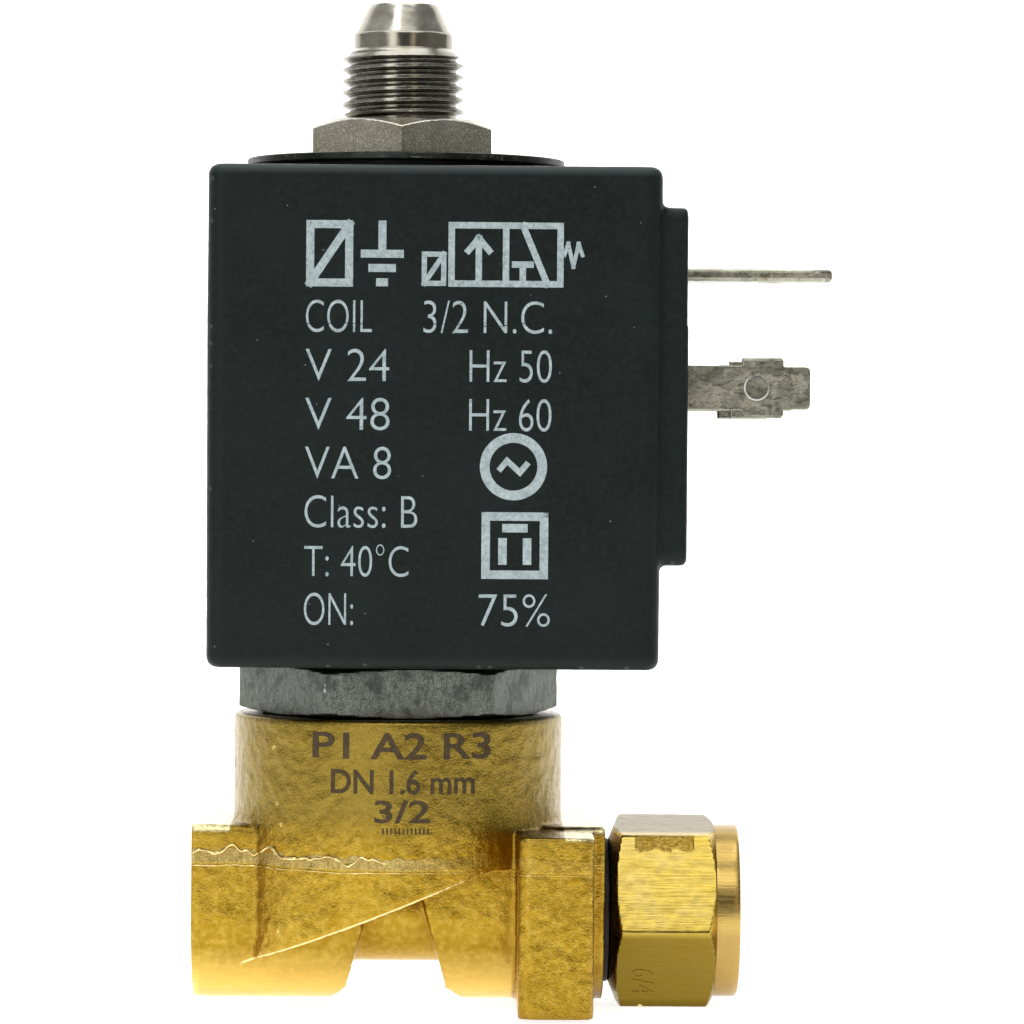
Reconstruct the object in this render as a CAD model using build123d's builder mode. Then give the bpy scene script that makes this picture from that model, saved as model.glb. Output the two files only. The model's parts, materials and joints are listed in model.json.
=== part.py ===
"""Direct-acting 3/2-way solenoid valve, normally closed, with a turnable moulded coil.

Units are millimetres. The origin is the centre of the inlet port's mouth. +X runs along the
ports from inlet to outlet, +Z runs up the armature tube, and Y is across the valve.
"""
import os
from math import radians, sqrt, tan

from build123d import *

os.makedirs("parts", exist_ok=True)

# ---- Driving dimensions ----------------------------------------------------------------
running_gap = 0.06             # radial gap of a piece that turns or slides in another
face_gap = 0.05                # gap between flat faces that turn on each other
touch_gap = 0.02               # gap of a piece that rests on another
thread_major = 9.728 / 2       # G1/8 pipe thread, crest radius
thread_minor = 8.566 / 2       # G1/8 pipe thread, root radius

# Forged body
body_length = 32.7
tube_x = 16.2                  # armature tube axis, from the inlet face
foot_z = -7.2                  # level that the body stands on
parting_z = 4.0                # where the two forging dies meet
port_half = 7.15               # half width of the port blocks
port_top_z = 7.2
port_depth = 9.0               # depth of each threaded port
boss_radius = 13.15
boss_top_z = 15.8
web_slope = 22.0               # degrees, underside of the round boss
neck_radius = 4.2
lug_reach = 14.4               # how far the mounting lugs stand out to each side
lug_width = 5.9
lug_offset = 12.5              # lug centre, from the tube axis
lug_top_z = 6.9
socket_radius = 8.0            # tapped hole that the tube base screws into
chamber_radius = 6.6
chamber_floor_z = 5.0
drill_radius = 1.25            # cross drillings between the ports and the chamber
screw_spacing = 22.0           # between the two M4 mounting holes
screw_tap_radius = 1.65
screw_depth = 7.0

# Armature tube, plunger and core
base_across_flats = 22.4
base_turn = 5.0                # degrees that the hexagon stops at when it is tight
base_top_z = 19.8
tube_outer = 5.5
tube_inner = 4.9
tube_top_z = 59.0
seat_z = 6.6                   # lower valve seat
orifice_radius = 0.8
stroke = 1.2
pad_lift = 0.3                 # how far the exhaust pad stands out of the plunger
core_bottom_z = 40.35

# Coil
coil_left = 14.95              # from the tube axis to the coil's plain side
coil_right = 20.45             # from the tube axis to the coil's terminal side
coil_half_width = 15.0
coil_bottom_z = base_top_z + face_gap
coil_top_z = 59.0
coil_parting_z = 46.6
block_face = 22.5              # terminal block face, from the tube axis
block_half_width = 14.0
block_low_z = 27.95
block_high_z = 55.9
yoke_half_length = 12.2
yoke_half_width = 10.5
yoke_low_z = 22.4
yoke_high_z = 56.4
yoke_plate = 2.0
blade_thickness = 0.8
latch_hole_radius = 0.9
live_spacing = 18.0
earth_rise = 9.05              # earth blade above the live blades
earth_thickness = 1.0

# Exhaust fitting
washer_radius = 12.7
washer_slip = 0.3              # how far the loose washer sits off the axis
washer_low_z = 59.45
washer_top_z = 60.05
fitting_across_flats = 14.2
fitting_turn = 30.0            # degrees, one corner to the front
fitting_hex_top_z = 63.1

# Outlet
nut_across_flats = 14.0
nut_turn = 8.0                 # degrees that the nut happens to be turned
nut_start = 33.1
nut_hex_length = 8.65
nut_length = 10.4
collar_radius = 6.9
pipe_radius = 3.05             # passes a 6 mm pipe

# ---- Worked-out places -----------------------------------------------------------------
block_centre_z = (block_low_z + block_high_z) / 2
spigot_bottom_z = 9.6          # lower end of the tube base
spigot_counterbore = 6.3       # room for the plunger's flange inside the tube base
base_ring_cord = 0.4
tube_bottom_z = spigot_bottom_z + 4.6
plunger_bottom_z = seat_z + 0.4
plunger_top_z = core_bottom_z - stroke - pad_lift - face_gap
coil_bore = tube_outer + running_gap


def level(height):
    """Horizontal plane at a height, centred on the armature tube."""
    return Plane((tube_x, 0, height))


def station(x):
    """Upright plane across the port axis, facing the outlet."""
    return Plane((x, 0, 0), x_dir=(0, 1, 0), z_dir=(1, 0, 0))


def section_of(base):
    """Plane through a base plane's axis: its x is the radius and its y the height."""
    return Plane(base.origin, x_dir=base.x_dir, z_dir=base.x_dir.cross(base.z_dir))


def turn(base, outline, mode=Mode.ADD):
    """Turn a closed outline of (radius, height) points about the base plane's normal."""
    with BuildSketch(section_of(base)) as profile:
        with BuildLine():
            Polyline(*outline, close=True)
        make_face()
    revolve(profile.sketch, axis=Axis(base.origin, base.z_dir), mode=mode)


def ring(base, inner, outer, height, mode=Mode.ADD):
    """Plain ring or, with an inner radius of 0, a disc that stands on the base plane."""
    with BuildSketch(base) as profile:
        Circle(outer)
        if inner > 0:
            Circle(inner, mode=Mode.SUBTRACT)
    extrude(profile.sketch, amount=height, mode=mode)


def o_ring(base, mean_radius, cord_radius):
    """Rubber ring of round section that lies on the base plane."""
    with BuildSketch(section_of(base)) as profile:
        with Locations((mean_radius, cord_radius)):
            Circle(cord_radius)
    revolve(profile.sketch, axis=Axis(base.origin, base.z_dir))


def hexagon(base, across_flats, height, angle, low=(0.475, 30), high=(0.475, 30)):
    """Hexagon with turned ends.

    An end is given as the radius of its flat face, as a part of the width across flats, and
    the slope in degrees from there out to the corners.
    """
    with BuildSketch(base) as profile:
        RegularPolygon(across_flats / 2, 6, major_radius=False, rotation=angle)
    extrude(profile.sketch, amount=height)
    corner = across_flats / sqrt(3) + 0.1
    low_face, high_face = across_flats * low[0], across_flats * high[0]
    low_drop = (corner - low_face) * tan(radians(low[1]))
    high_drop = (corner - high_face) * tan(radians(high[1]))
    turn(
        base,
        [
            (0, 0),
            (low_face, 0),
            (corner, low_drop),
            (corner, height - high_drop),
            (high_face, height),
            (0, height),
        ],
        Mode.INTERSECT,
    )


def wind_spring(low_z, high_z, radius, wire, turns):
    """Compression spring between two heights on the tube axis."""
    rise = high_z - low_z - 2 * wire
    with BuildLine(level(low_z + wire)) as path:
        Helix(pitch=rise / turns, height=rise, radius=radius)
    with BuildSketch(Plane(path.line @ 0, z_dir=path.line % 0)) as profile:
        Circle(wire)
    sweep(profile.sketch, path=path.line, is_frenet=True)


def write(part, name):
    part.label = name
    export_step(part, f"parts/{name}.step")


# ---- Forged brass body -----------------------------------------------------------------
with BuildPart() as boss_block:
    ring(level(foot_z), 0, boss_radius, boss_top_z - foot_z)
    web_end = 7.4              # where the sloping underside meets the parting level
    reach = boss_radius + 1
    low_end_z = parting_z - (web_end + reach) * tan(radians(web_slope))
    with BuildSketch(Plane.XZ):
        with BuildLine():
            Polyline(
                (tube_x - reach, foot_z - 1),
                (tube_x - reach, low_end_z),
                (tube_x + web_end, parting_z),
                (tube_x + reach, parting_z),
                (tube_x + reach, foot_z - 1),
                close=True,
            )
        make_face()
    extrude(amount=reach, both=True, mode=Mode.SUBTRACT)

with BuildPart() as valve_body:
    # Port bar with a flat top and a round underside
    with BuildSketch(station(0)):
        Circle(port_half)
        with Locations((0, port_top_z / 2)):
            Rectangle(2 * port_half, port_top_z)
    extrude(amount=body_length)
    # The bar is forged away to a thin neck below the tube
    notch_foot = 4.0
    notch_head = 1.7
    notch_flare = 2.6          # the notch widens at its foot
    with BuildSketch(Plane.XZ):
        with BuildLine():
            Polyline(
                (tube_x - notch_foot - notch_flare, foot_z - 1),
                (tube_x - notch_foot, foot_z + 1.2),
                (tube_x - notch_head, parting_z - 1),
                (tube_x + notch_head, parting_z - 1),
                (tube_x + notch_foot, foot_z + 1.2),
                (tube_x + notch_foot + notch_flare, foot_z - 1),
                close=True,
            )
        make_face()
    extrude(amount=port_half + 1, both=True, mode=Mode.SUBTRACT)
    with BuildSketch(station(tube_x - notch_foot)):
        Circle(neck_radius)
    extrude(amount=2 * notch_foot)
    add(boss_block.part)
    # Mounting lugs, one pillar to each side of the outlet
    with BuildSketch(Plane((tube_x + lug_offset, 0, foot_z))):
        RectangleRounded(lug_width, 2 * lug_reach, 0.9)
    extrude(amount=lug_top_z - foot_z)
    boss_rim = valve_body.edges().filter_by(GeomType.CIRCLE).group_by(Axis.Z)[-1]
    fillet(boss_rim, 0.35)
    block_edges = (
        valve_body.edges()
        .filter_by(Axis.X)
        .filter_by_position(Axis.Z, port_top_z - 0.01, port_top_z + 0.01)
    )
    fillet(block_edges, 0.6)
    # Chamber, seat and the socket for the tube base
    turn(
        level(0),
        [
            (orifice_radius + 0.7, seat_z),
            (orifice_radius + 1.2, chamber_floor_z),
            (chamber_radius, chamber_floor_z),
            (chamber_radius, spigot_bottom_z - 2 * base_ring_cord),
            (socket_radius, spigot_bottom_z - 2 * base_ring_cord),
            (socket_radius, boss_top_z),
            (0, boss_top_z),
            (0, seat_z),
        ],
        Mode.SUBTRACT,
    )
    # Inlet: threaded port, drilling to the middle, orifice up through the seat
    ring(station(0), 0, thread_minor, port_depth, Mode.SUBTRACT)
    ring(station(port_depth), 0, drill_radius, tube_x + 1 - port_depth, Mode.SUBTRACT)
    ring(level(0), 0, orifice_radius, seat_z, Mode.SUBTRACT)
    # Outlet: threaded port, short drilling, riser from the chamber floor
    riser_offset = 4.6
    riser_radius = 1.1
    drill_length = tube_x - port_depth - riser_offset
    ring(station(body_length - port_depth), 0, thread_minor, port_depth, Mode.SUBTRACT)
    ring(station(tube_x + riser_offset), 0, drill_radius, drill_length, Mode.SUBTRACT)
    ring(Plane((tube_x + riser_offset, 0, 0)), 0, riser_radius, chamber_floor_z, Mode.SUBTRACT)
    # Blind tapped holes in the lugs
    with BuildSketch(Plane((tube_x + lug_offset, 0, foot_z))):
        with GridLocations(0, screw_spacing, 1, 2):
            Circle(screw_tap_radius)
    extrude(amount=screw_depth, mode=Mode.SUBTRACT)
write(valve_body.part, "valve_body")

# ---- Tube base: hexagon that screws into the body and carries the tube -----------------
with BuildPart() as tube_base:
    base_height = base_top_z - boss_top_z
    worn_end = (0.48, 12)
    hexagon(level(boss_top_z), base_across_flats, base_height, base_turn, worn_end, worn_end)
    ring(level(spigot_bottom_z), 0, socket_radius - running_gap, boss_top_z - spigot_bottom_z)
    counterbore_depth = tube_bottom_z - spigot_bottom_z
    ring(level(spigot_bottom_z), 0, spigot_counterbore, counterbore_depth, Mode.SUBTRACT)
    ring(level(spigot_bottom_z), 0, tube_outer, base_top_z - spigot_bottom_z, Mode.SUBTRACT)
write(tube_base.part, "tube_base")

with BuildPart() as base_o_ring:
    ring_radius = (chamber_radius + socket_radius) / 2
    o_ring(level(spigot_bottom_z - 2 * base_ring_cord), ring_radius, base_ring_cord)
write(base_o_ring.part, "base_o_ring")

# ---- Armature tube and fixed core ------------------------------------------------------
with BuildPart() as armature_tube:
    ring(level(tube_bottom_z), tube_inner, tube_outer, tube_top_z - tube_bottom_z)
write(armature_tube.part, "armature_tube")

stud_radius = 3.4
stud_top_z = 63.8
stud_bore_top_z = 64.2         # drill point of the hole in the fitting starts here
core_bore = 1.1
shading_inner = 2.9
shading_outer = 3.6
shading_depth = 1.2
with BuildPart() as fixed_core:
    turn(
        level(0),
        [
            (core_bore, core_bottom_z),
            (shading_inner, core_bottom_z),
            (shading_inner, core_bottom_z + shading_depth),
            (shading_outer, core_bottom_z + shading_depth),
            (shading_outer, core_bottom_z),
            (tube_inner, core_bottom_z),
            (tube_inner, tube_top_z),
            (stud_radius, tube_top_z),
            (stud_radius, stud_top_z),
            (core_bore, stud_top_z),
        ],
    )
write(fixed_core.part, "fixed_core")

with BuildPart() as shading_ring:
    ring(level(core_bottom_z), shading_inner, shading_outer, shading_depth)
write(shading_ring.part, "shading_ring")

# ---- Plunger and its two seals ---------------------------------------------------------
flange_radius = 6.2
flange_top_z = plunger_bottom_z + 1.0
lower_pocket = 2.2
lower_pocket_top_z = seat_z + 2.0
pad_bore = 2.6
pad_bore_bottom_z = 28.0
pad_mouth = 2.0
pad_lip = 0.8
with BuildPart() as plunger:
    plunger_radius = tube_inner - running_gap
    turn(
        level(0),
        [
            (0, lower_pocket_top_z),
            (lower_pocket, lower_pocket_top_z),
            (lower_pocket, plunger_bottom_z),
            (flange_radius, plunger_bottom_z),
            (flange_radius, flange_top_z),
            (plunger_radius, flange_top_z),
            (plunger_radius, plunger_top_z),
            (pad_mouth, plunger_top_z),
            (pad_mouth, plunger_top_z - pad_lip),
            (pad_bore, plunger_top_z - pad_lip),
            (pad_bore, pad_bore_bottom_z),
            (0, pad_bore_bottom_z),
        ],
    )
    # Two flats let the fluid pass up the tube to the exhaust
    flat_depth = 0.6
    with BuildSketch(level(flange_top_z)):
        with GridLocations(2 * plunger_radius, 0, 2, 1):
            Rectangle(2 * flat_depth, 2 * plunger_radius)
    extrude(amount=plunger_top_z - flange_top_z, mode=Mode.SUBTRACT)
write(plunger.part, "plunger")

with BuildPart() as lower_seal:
    seal_height = lower_pocket_top_z - seat_z - touch_gap
    ring(level(seat_z + touch_gap), 0, lower_pocket, seal_height)
write(lower_seal.part, "lower_seal")

pad_flange_top_z = plunger_top_z - pad_lip - touch_gap
pad_flange_bottom_z = pad_flange_top_z - 2.2
with BuildPart() as upper_seal:
    turn(
        level(0),
        [
            (0, pad_flange_bottom_z),
            (pad_bore - running_gap, pad_flange_bottom_z),
            (pad_bore - running_gap, pad_flange_top_z),
            (pad_mouth - running_gap, pad_flange_top_z),
            (pad_mouth - running_gap, plunger_top_z + pad_lift),
            (0, plunger_top_z + pad_lift),
        ],
    )
write(upper_seal.part, "upper_seal")

with BuildPart() as upper_seal_spring:
    low_z, high_z = pad_bore_bottom_z + touch_gap, pad_flange_bottom_z - touch_gap
    wind_spring(low_z, high_z, radius=2.05, wire=0.2, turns=6)
write(upper_seal_spring.part, "upper_seal_spring")

with BuildPart() as plunger_spring:
    low_z, high_z = flange_top_z + touch_gap, tube_bottom_z - touch_gap
    wind_spring(low_z, high_z, radius=5.45, wire=0.35, turns=4)
write(plunger_spring.part, "plunger_spring")

# ---- Coil: winding, bobbin and yoke, with terminals ------------------------------------
bobbin_low_z = yoke_low_z + yoke_plate
bobbin_high_z = yoke_high_z - yoke_plate
bobbin_flange = 10.1
bobbin_barrel = 6.7
bobbin_wall = 1.2
with BuildPart() as coil_bobbin:
    turn(
        level(0),
        [
            (coil_bore, bobbin_low_z),
            (bobbin_flange, bobbin_low_z),
            (bobbin_flange, bobbin_low_z + bobbin_wall),
            (bobbin_barrel, bobbin_low_z + bobbin_wall),
            (bobbin_barrel, bobbin_high_z - bobbin_wall),
            (bobbin_flange, bobbin_high_z - bobbin_wall),
            (bobbin_flange, bobbin_high_z),
            (coil_bore, bobbin_high_z),
        ],
    )
write(coil_bobbin.part, "coil_bobbin")

winding_radius = bobbin_flange - 0.4
winding_height = bobbin_high_z - bobbin_low_z - 2 * bobbin_wall
with BuildPart() as coil_winding:
    ring(level(bobbin_low_z + bobbin_wall), bobbin_barrel, winding_radius, winding_height)
write(coil_winding.part, "coil_winding")

with BuildPart() as yoke_frame:
    with BuildSketch(Plane.XZ):
        with Locations((tube_x, (yoke_low_z + yoke_high_z) / 2)):
            RectangleRounded(2 * yoke_half_length, yoke_high_z - yoke_low_z, yoke_plate)
            Rectangle(
                2 * (yoke_half_length - yoke_plate),
                yoke_high_z - yoke_low_z - 2 * yoke_plate,
                mode=Mode.SUBTRACT,
            )
    extrude(amount=yoke_half_width, both=True)
    ring(level(yoke_low_z), 0, coil_bore, yoke_high_z - yoke_low_z, Mode.SUBTRACT)
write(yoke_frame.part, "yoke_frame")


def live_terminal(side):
    """Upright flat blade with a widened middle, at one side of the block."""
    tail_x, root_x = tube_x + 13.5, tube_x + 25.9
    wide_x, nose_x = tube_x + 30.1, tube_x + 32.2
    tail_half, wide_half, nose_half, nose_round = 1.75, 2.37, 1.68, 0.45
    middle_y = side * live_spacing / 2 + blade_thickness / 2
    face = Plane((0, middle_y, block_centre_z), x_dir=(1, 0, 0), z_dir=(0, -1, 0))
    with BuildSketch(face) as outline:
        with Locations(((tail_x + root_x) / 2, 0)):
            Rectangle(root_x - tail_x, 2 * tail_half)
        with Locations(((root_x + wide_x) / 2, 0)):
            Rectangle(wide_x - root_x, 2 * wide_half)
        with Locations(((root_x + nose_x) / 2, 0)):
            RectangleRounded(nose_x - root_x, 2 * nose_half, nose_round)
    extrude(outline.sketch, amount=blade_thickness)
    # Blind latch hole in the outer face
    outer_y = side * (live_spacing + blade_thickness) / 2
    outer_face = Plane((0, outer_y, block_centre_z), x_dir=(1, 0, 0), z_dir=(0, side, 0))
    with BuildSketch(outer_face) as latch:
        with Locations(((root_x + wide_x) / 2, 0)):
            Circle(latch_hole_radius)
    extrude(latch.sketch, amount=-blade_thickness / 2, mode=Mode.SUBTRACT)


with BuildPart() as live_terminal_front:
    live_terminal(-1)
write(live_terminal_front.part, "live_terminal_front")

with BuildPart() as live_terminal_rear:
    live_terminal(1)
write(live_terminal_rear.part, "live_terminal_rear")

with BuildPart() as earth_terminal:
    earth_tip = tube_x + 34.4
    earth_half = 3.15
    tip_half = earth_half - 0.8
    shoulder_x = earth_tip - 1.0
    latch_x = tube_x + 29.5
    earth_z = block_centre_z + earth_rise
    with BuildSketch(Plane.XY.offset(earth_z - earth_thickness / 2)):
        with BuildLine():
            Polyline(
                (tube_x + yoke_half_length, -earth_half),
                (shoulder_x, -earth_half),
                (earth_tip, -tip_half),
                (earth_tip, tip_half),
                (shoulder_x, earth_half),
                (tube_x + yoke_half_length, earth_half),
                close=True,
            )
        make_face()
        with Locations((latch_x, 0)):
            Circle(latch_hole_radius, mode=Mode.SUBTRACT)
    extrude(amount=earth_thickness)
    tip_edges = earth_terminal.faces().sort_by(Axis.X)[-1].edges().filter_by(Axis.Y)
    chamfer(tip_edges, 0.25)
write(earth_terminal.part, "earth_terminal")

insert_radius = 2.4
insert_length = 7.0
insert_tap_radius = 1.25
insert_tap_depth = 6.0
block_centre = Plane((tube_x + block_face, 0, block_centre_z), x_dir=(0, 1, 0), z_dir=(1, 0, 0))
with BuildPart() as connector_insert:
    ring(block_centre, 0, insert_radius, -insert_length)
    ring(block_centre, 0, insert_tap_radius, -insert_tap_depth, Mode.SUBTRACT)
write(connector_insert.part, "connector_insert")

# ---- Coil housing: resin moulded round the yoke, winding and terminals -----------------
seal_recess = 7.4
seal_recess_depth = 1.1
with BuildPart() as coil_housing:
    draft = 0.2                # degrees, above and below the parting line
    corner_round = 1.3
    rim_round = 0.9
    middle_x = tube_x + (coil_right - coil_left) / 2
    for end_z in (coil_top_z, coil_bottom_z):
        with BuildSketch(Plane((middle_x, 0, coil_parting_z))):
            RectangleRounded(coil_left + coil_right, 2 * coil_half_width, corner_round)
        extrude(amount=end_z - coil_parting_z, taper=draft)
    fillet(coil_housing.faces().sort_by(Axis.Z)[-1].edges(), rim_round)
    fillet(coil_housing.faces().sort_by(Axis.Z)[0].edges(), rim_round)
    # Terminal block on the +X side
    block_root = 3.0           # how deep the block starts inside the coil
    with BuildSketch(station(tube_x + coil_right - block_root)):
        with Locations((0, block_centre_z)):
            RectangleRounded(2 * block_half_width, block_high_z - block_low_z, 1.0)
    extrude(amount=block_face - coil_right + block_root)
    fillet(coil_housing.faces().sort_by(Axis.X)[-1].edges(), 0.5)
    # Bore for the tube, with a recess for the lower seal
    bore_height = coil_top_z - coil_bottom_z
    housing_bore = coil_bore + 0.4
    ring(level(coil_bottom_z), 0, housing_bore, bore_height, Mode.SUBTRACT)
    ring(level(coil_bottom_z), 0, seal_recess, seal_recess_depth, Mode.SUBTRACT)
    add(yoke_frame.part, mode=Mode.SUBTRACT)
    add(coil_bobbin.part, mode=Mode.SUBTRACT)
    add(coil_winding.part, mode=Mode.SUBTRACT)
    add(live_terminal_front.part, mode=Mode.SUBTRACT)
    add(live_terminal_rear.part, mode=Mode.SUBTRACT)
    add(earth_terminal.part, mode=Mode.SUBTRACT)
    ring(block_centre, 0, insert_radius, -insert_length, Mode.SUBTRACT)
write(coil_housing.part, "coil_housing")

with BuildPart() as coil_bottom_seal:
    seal_bore = tube_outer + 0.1
    ring(level(coil_bottom_z), seal_bore, seal_recess, seal_recess_depth)
write(coil_bottom_seal.part, "coil_bottom_seal")

top_seal_inner = 7.0
top_seal_outer = 10.5
with BuildPart() as coil_top_seal:
    ring(level(coil_top_z), top_seal_inner, top_seal_outer, washer_low_z - coil_top_z)
write(coil_top_seal.part, "coil_top_seal")

with BuildPart() as coil_washer:
    washer_place = Plane((tube_x + washer_slip, 0, washer_low_z))
    washer_bore = tube_outer + washer_slip + 0.1
    ring(washer_place, washer_bore, washer_radius, washer_top_z - washer_low_z)
write(coil_washer.part, "coil_washer")

# ---- Exhaust fitting: holds the coil down and takes the drain pipe ---------------------
fitting_bottom_z = washer_top_z + face_gap
thread_top_z = 68.9
fitting_tip_z = 72.45
neck_top_z = 70.05
neck_outer = 3.95
tip_outer = 2.75
exhaust_bore = 1.5
with BuildPart() as exhaust_fitting:
    hexagon(
        level(fitting_bottom_z),
        fitting_across_flats,
        fitting_hex_top_z - fitting_bottom_z,
        fitting_turn,
        low=(0.6, 0),
    )
    turn(
        level(0),
        [
            (0, fitting_hex_top_z - 1),
            (thread_minor, fitting_hex_top_z - 1),
            (thread_minor, fitting_hex_top_z + 0.3),
            (thread_major, fitting_hex_top_z + 0.8),
            (thread_major, thread_top_z - 0.9),
            (neck_outer, thread_top_z),
            (neck_outer, neck_top_z),
            (tip_outer, fitting_tip_z),
            (0, fitting_tip_z),
        ],
    )
    stud_bore = stud_radius + running_gap
    turn(
        level(0),
        [
            (0, fitting_bottom_z),
            (stud_bore, fitting_bottom_z),
            (stud_bore, stud_bore_top_z),
            (exhaust_bore, stud_bore_top_z + 1.1),
            (exhaust_bore, fitting_tip_z),
            (0, fitting_tip_z),
        ],
        Mode.SUBTRACT,
    )
write(exhaust_fitting.part, "exhaust_fitting")

with BuildPart() as fitting_o_ring:
    cord_radius = 0.4
    o_ring(level(tube_top_z), stud_radius + touch_gap + cord_radius, cord_radius)
write(fitting_o_ring.part, "fitting_o_ring")

# ---- Outlet nipple, its sealing ring, union nut and ferrule ----------------------------
nipple_end = 38.5
nipple_bore = 2.0
nipple_start = body_length - port_depth + 0.5
nipple_root = thread_minor - touch_gap
with BuildPart() as outlet_nipple:
    turn(
        station(0),
        [
            (nipple_bore, nipple_start),
            (nipple_root, nipple_start),
            (nipple_root, body_length),
            (thread_major, body_length),
            (thread_major, nipple_end - 0.4),
            (thread_major - 0.6, nipple_end),
            (nipple_bore, nipple_end),
        ],
    )
write(outlet_nipple.part, "outlet_nipple")

with BuildPart() as nipple_seal:
    seal_radius = 5.75
    seal_length = nut_start - face_gap - body_length
    ring(station(body_length), thread_major, seal_radius, seal_length)
write(nipple_seal.part, "nipple_seal")

cone_start = 39.0              # cone in the nut that squeezes the ferrule
cone_end = 40.9
ferrule_radius = 4.55
ferrule_tip_radius = 3.5
with BuildPart() as union_nut:
    hexagon(station(nut_start), nut_across_flats, nut_hex_length, nut_turn, low=(0.4, 22))
    nut_end = nut_start + nut_length
    collar_root = nut_start + nut_hex_length - 1
    collar_round = 0.25
    turn(
        station(0),
        [
            (0, collar_root),
            (collar_radius, collar_root),
            (collar_radius, nut_end - collar_round),
            (collar_radius - collar_round, nut_end),
            (0, nut_end),
        ],
    )
    turn(
        station(0),
        [
            (0, nut_start),
            (thread_major + running_gap, nut_start),
            (thread_major + running_gap, cone_start),
            (pipe_radius, cone_end),
            (pipe_radius, nut_end),
            (0, nut_end),
        ],
        Mode.SUBTRACT,
    )
write(union_nut.part, "union_nut")

with BuildPart() as ferrule:
    turn(
        station(0),
        [
            (pipe_radius, nipple_end + face_gap),
            (ferrule_radius, nipple_end + face_gap),
            (ferrule_radius, cone_start + 0.2),
            (ferrule_tip_radius, cone_end - 0.6),
            (pipe_radius, cone_end - 0.6),
        ],
    )
write(ferrule.part, "ferrule")
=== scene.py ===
"""Looks of the solenoid valve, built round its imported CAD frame. Metres, same frame as the CAD."""
import json
import math

import bpy
import bmesh
from mathutils import Matrix, Vector, noise
from mathutils.bvhtree import BVHTree


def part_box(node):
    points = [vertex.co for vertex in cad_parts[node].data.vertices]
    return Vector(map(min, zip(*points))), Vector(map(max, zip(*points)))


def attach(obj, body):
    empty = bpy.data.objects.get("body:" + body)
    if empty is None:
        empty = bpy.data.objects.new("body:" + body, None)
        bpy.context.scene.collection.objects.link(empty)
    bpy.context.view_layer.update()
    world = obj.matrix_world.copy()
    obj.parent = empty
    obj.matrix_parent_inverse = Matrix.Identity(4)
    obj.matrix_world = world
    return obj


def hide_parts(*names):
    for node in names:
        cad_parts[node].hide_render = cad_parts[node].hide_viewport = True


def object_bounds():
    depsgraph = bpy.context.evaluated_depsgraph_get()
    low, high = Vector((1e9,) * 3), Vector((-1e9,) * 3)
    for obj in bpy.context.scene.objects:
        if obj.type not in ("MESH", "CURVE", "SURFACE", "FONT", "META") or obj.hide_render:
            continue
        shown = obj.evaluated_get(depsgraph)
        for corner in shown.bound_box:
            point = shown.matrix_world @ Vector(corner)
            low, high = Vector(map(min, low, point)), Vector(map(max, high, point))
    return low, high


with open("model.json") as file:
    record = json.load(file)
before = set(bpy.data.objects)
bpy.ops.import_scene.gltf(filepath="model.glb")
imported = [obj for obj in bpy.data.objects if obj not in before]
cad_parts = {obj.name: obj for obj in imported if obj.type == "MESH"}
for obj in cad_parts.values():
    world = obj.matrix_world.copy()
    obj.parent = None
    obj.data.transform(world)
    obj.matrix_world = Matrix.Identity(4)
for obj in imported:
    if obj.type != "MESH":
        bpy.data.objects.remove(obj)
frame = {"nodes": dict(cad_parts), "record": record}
cad_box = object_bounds()
nodes = frame["nodes"]
mounts = {mount["name"]: mount for mount in frame["record"]["mounts"]}
mm = 0.001

# ---- Measures taken from the frame ----
body_low, body_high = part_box("valve_body")
base_low, base_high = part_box("tube_base")
coil_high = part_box("coil_housing")[1]
washer_low, washer_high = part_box("coil_washer")
fitting_low, fitting_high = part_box("exhaust_fitting")
nut_low, nut_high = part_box("union_nut")
earth_low, earth_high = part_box("earth_terminal")
tube_x = mounts["exhaust"]["pos_m"][0]
thread_crest = mounts["exhaust"]["dims"]["r_mm"] * mm
thread_root = mounts["inlet"]["dims"]["r_mm"] * mm
thread_pitch = 25.4 * mm / 28
parting_z = 4 * mm              # where the two forging dies met
coil_parting_z = 46.6 * mm
thread_foot_z = 63.1 * mm       # the fitting's hexagon ends and its thread starts
thread_top_z = 68.9 * mm
neck_top_z = 70.05 * mm
upright = Matrix.Translation((tube_x, 0, 0))
along_ports = Matrix(((0, 0, 1, 0), (1, 0, 0, 0), (0, 1, 0, 0), (0, 0, 0, 1)))
standing = Matrix(((1, 0, 0, 0), (0, 0, -1, 0), (0, 1, 0, 0), (0, 0, 0, 1)))
facing_front = upright @ standing
ink_thickness = 0.03 * mm


# ---- Materials ----
def set_range(node, *numbers):
    """Fills a Map Range node: from low, from high, to low, to high."""
    for name, number in zip(("From Min", "From Max", "To Min", "To Max"), numbers):
        node.inputs[name].default_value = number


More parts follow.
